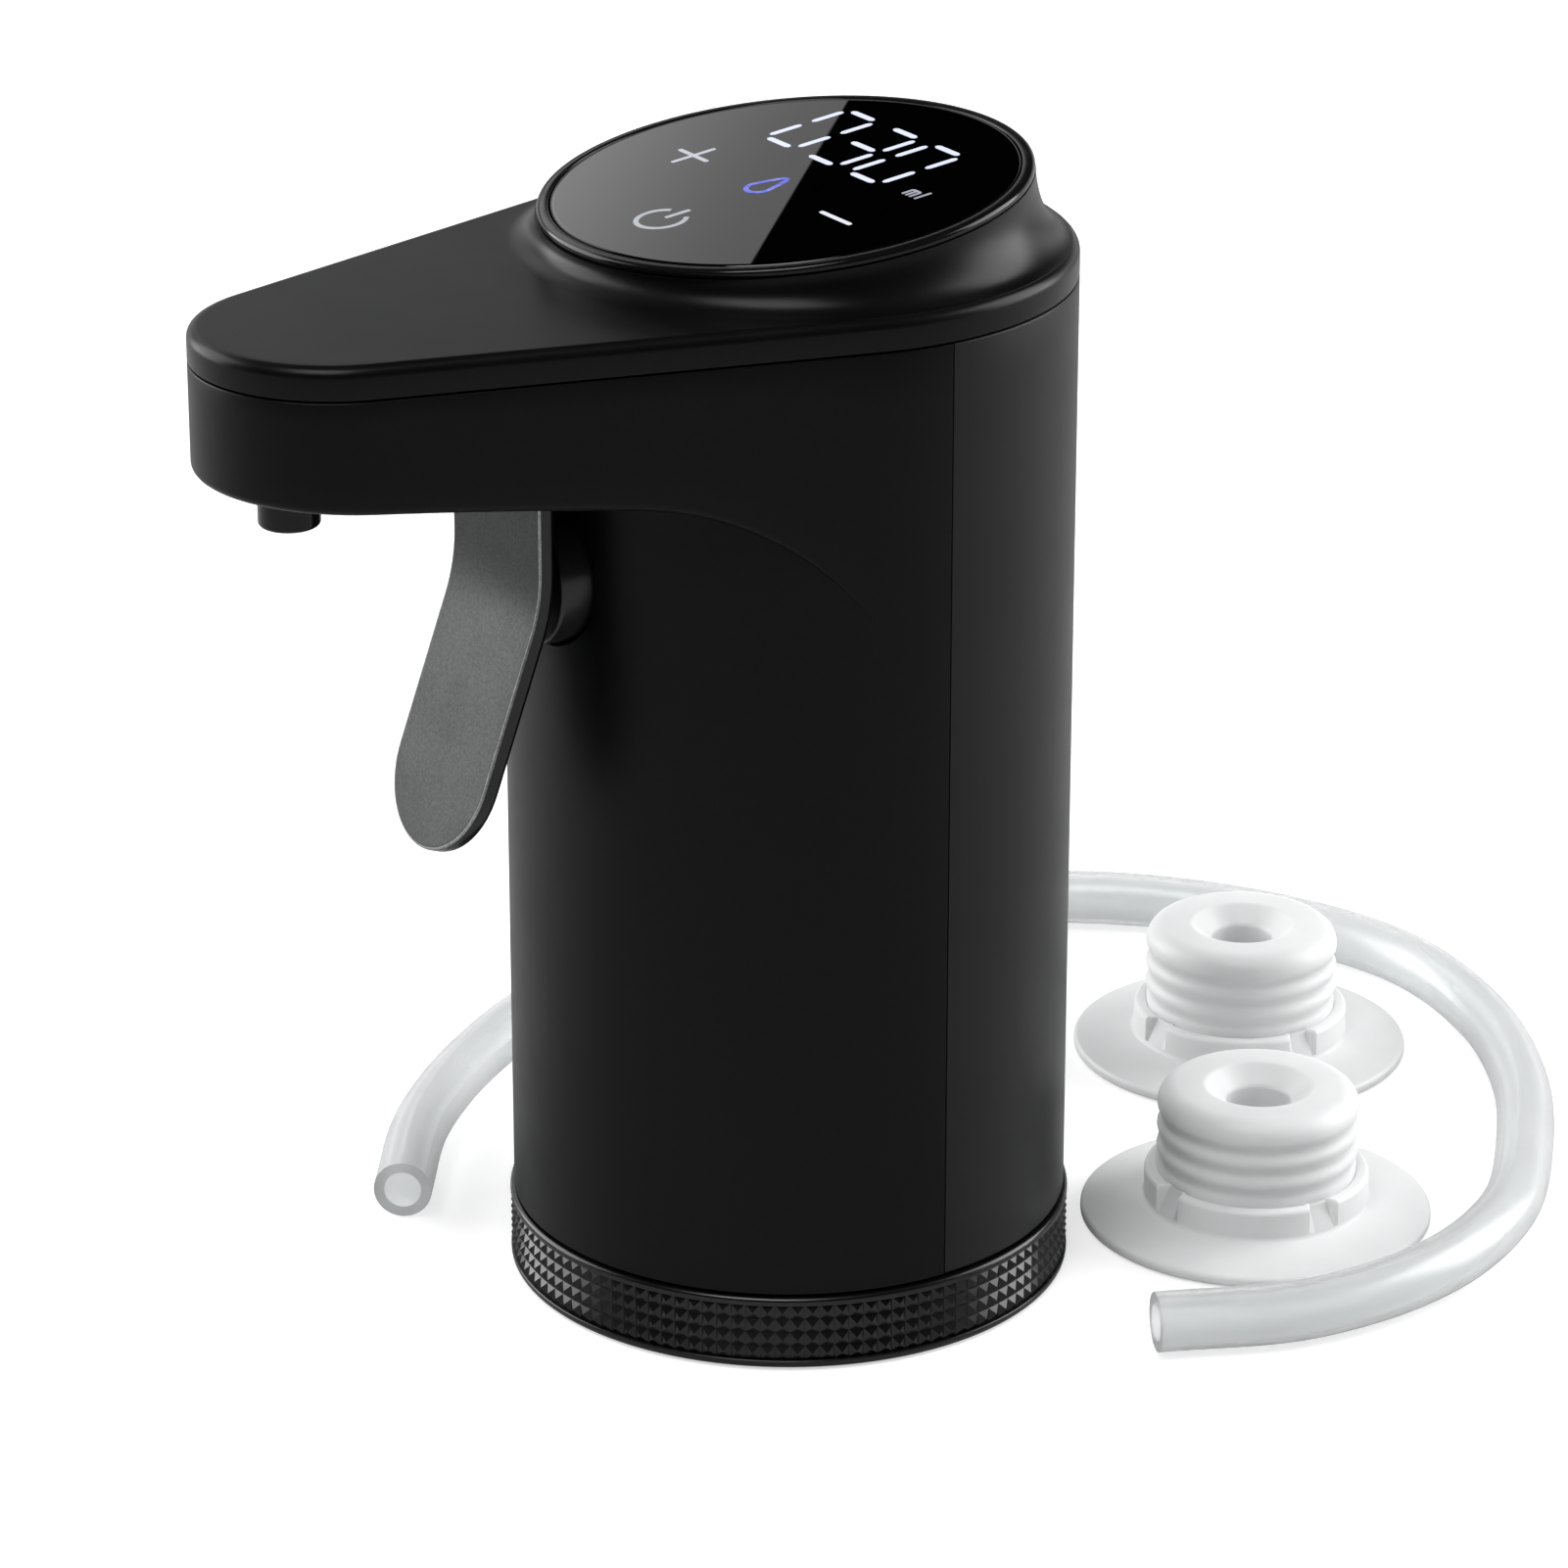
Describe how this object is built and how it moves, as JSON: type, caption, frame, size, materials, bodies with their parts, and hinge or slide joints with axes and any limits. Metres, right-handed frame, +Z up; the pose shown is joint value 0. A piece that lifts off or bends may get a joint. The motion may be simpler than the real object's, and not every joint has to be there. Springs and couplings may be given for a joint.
{
  "type": "electric wine aerator",
  "caption": "Battery wine aerator that stands on a bottle's neck: round body, tilted round display, tapered arm with nozzle and trigger, knurled base ring, spare stoppers and dip tube.",
  "frame": {"origin": "on the body's axis at the underside of the knurled base ring, where the bottle's neck goes in", "axes": "+Z up along the body's axis, -Y along the pouring arm, +X to the arm's right seen from the body"},
  "size_m": [0.0972, 0.1331, 0.0959],
  "materials": {
    "soft_touch_black": "soft-touch matte",
    "gloss_black": "gloss",
    "graphite_paint": "fine metallic satin",
    "display_glass_black": "gloss",
    "natural_silicone": "translucent satin",
    "inner_plastic": "moulded",
    "black_rubber": "matte",
    "board_green": "solder mask",
    "bright_steel": "bright",
    "cell_wrap": "shrink film",
    "wire_red": "insulation"
  },
  "bodies": {
    "housing": {"front_housing": "soft_touch_black", "rear_cover": "soft_touch_black", "top_cover": "soft_touch_black", "display_bezel": "gloss_black", "display_glass": "display_glass_black", "led_display": "inner_plastic", "control_board": "board_green", "touch_pad_plus": "black_rubber", "touch_pad_minus": "black_rubber", "touch_pad_power": "black_rubber", "pump_chassis": "inner_plastic", "middle_frame": "inner_plastic", "frame_screw_left": "bright_steel", "frame_screw_right": "bright_steel", "manifold": "inner_plastic", "pump_motor": "bright_steel", "pump_housing": "inner_plastic", "pump_diaphragm": "black_rubber", "pump_valve_plate": "inner_plastic", "air_hose": "natural_silicone", "wine_hose": "natural_silicone", "nozzle": "gloss_black", "nozzle_elbow": "inner_plastic", "pivot_pin": "bright_steel", "return_spring": "bright_steel", "micro_switch": "inner_plastic", "battery_cell": "cell_wrap", "cell_band": "black_rubber", "charge_board": "board_green", "charging_port": "bright_steel", "battery_lead": "wire_red"},
    "base": {"base_ring": "soft_touch_black", "bottle_socket": "inner_plastic", "base_gasket": "black_rubber", "bottle_stopper": "natural_silicone"},
    "trigger": {"trigger_lever": "graphite_paint"},
    "plunger": {"trigger_plunger": "gloss_black"},
    "pump_rotor": {"motor_shaft": "bright_steel", "pump_eccentric": "inner_plastic"},
    "spare_stopper_a": {"spare_stopper_1": "natural_silicone"},
    "spare_stopper_b": {"spare_stopper_2": "natural_silicone"},
    "loose_tube": {"dip_tube": "natural_silicone"}
  },
  "joints": [
    {"name": "trigger_pull", "type": "hinge", "parent": "housing", "child": "trigger", "pos_m": [0, -0.0268, 0.0799], "axis": [1, 0, 0], "range_deg": [0, 6], "stiffness_Nm_per_rad": 0.1, "springref_deg": -11.46},
    {"name": "plunger_press", "type": "slide", "parent": "housing", "child": "plunger", "axis": [0, 1, 0], "range_m": [0, 0.0016]},
    {"name": "base_twist", "type": "hinge", "parent": "housing", "child": "base", "pos_m": [0, 0, 0], "axis": [0, 0, 1], "range_deg": [0, 40]},
    {"name": "pump_spin", "type": "hinge", "parent": "housing", "child": "pump_rotor", "pos_m": [0, -0.0062, 0.05], "axis": [0, 0, 1], "continuous": true},
    {"name": "lift_spare_stopper_a", "type": "slide", "parent": "housing", "child": "spare_stopper_a", "axis": [0, 0, 1], "range_m": [0, 0.03]},
    {"name": "lift_spare_stopper_b", "type": "slide", "parent": "housing", "child": "spare_stopper_b", "axis": [0, 0, 1], "range_m": [0, 0.03]},
    {"name": "lift_loose_tube", "type": "slide", "parent": "housing", "child": "loose_tube", "axis": [0, 0, 1], "range_m": [0, 0.03]}
  ],
  "couplings": [
    {"joint": "plunger_press", "follows": "trigger_pull", "m_per_rad": 0.0144}
  ]
}
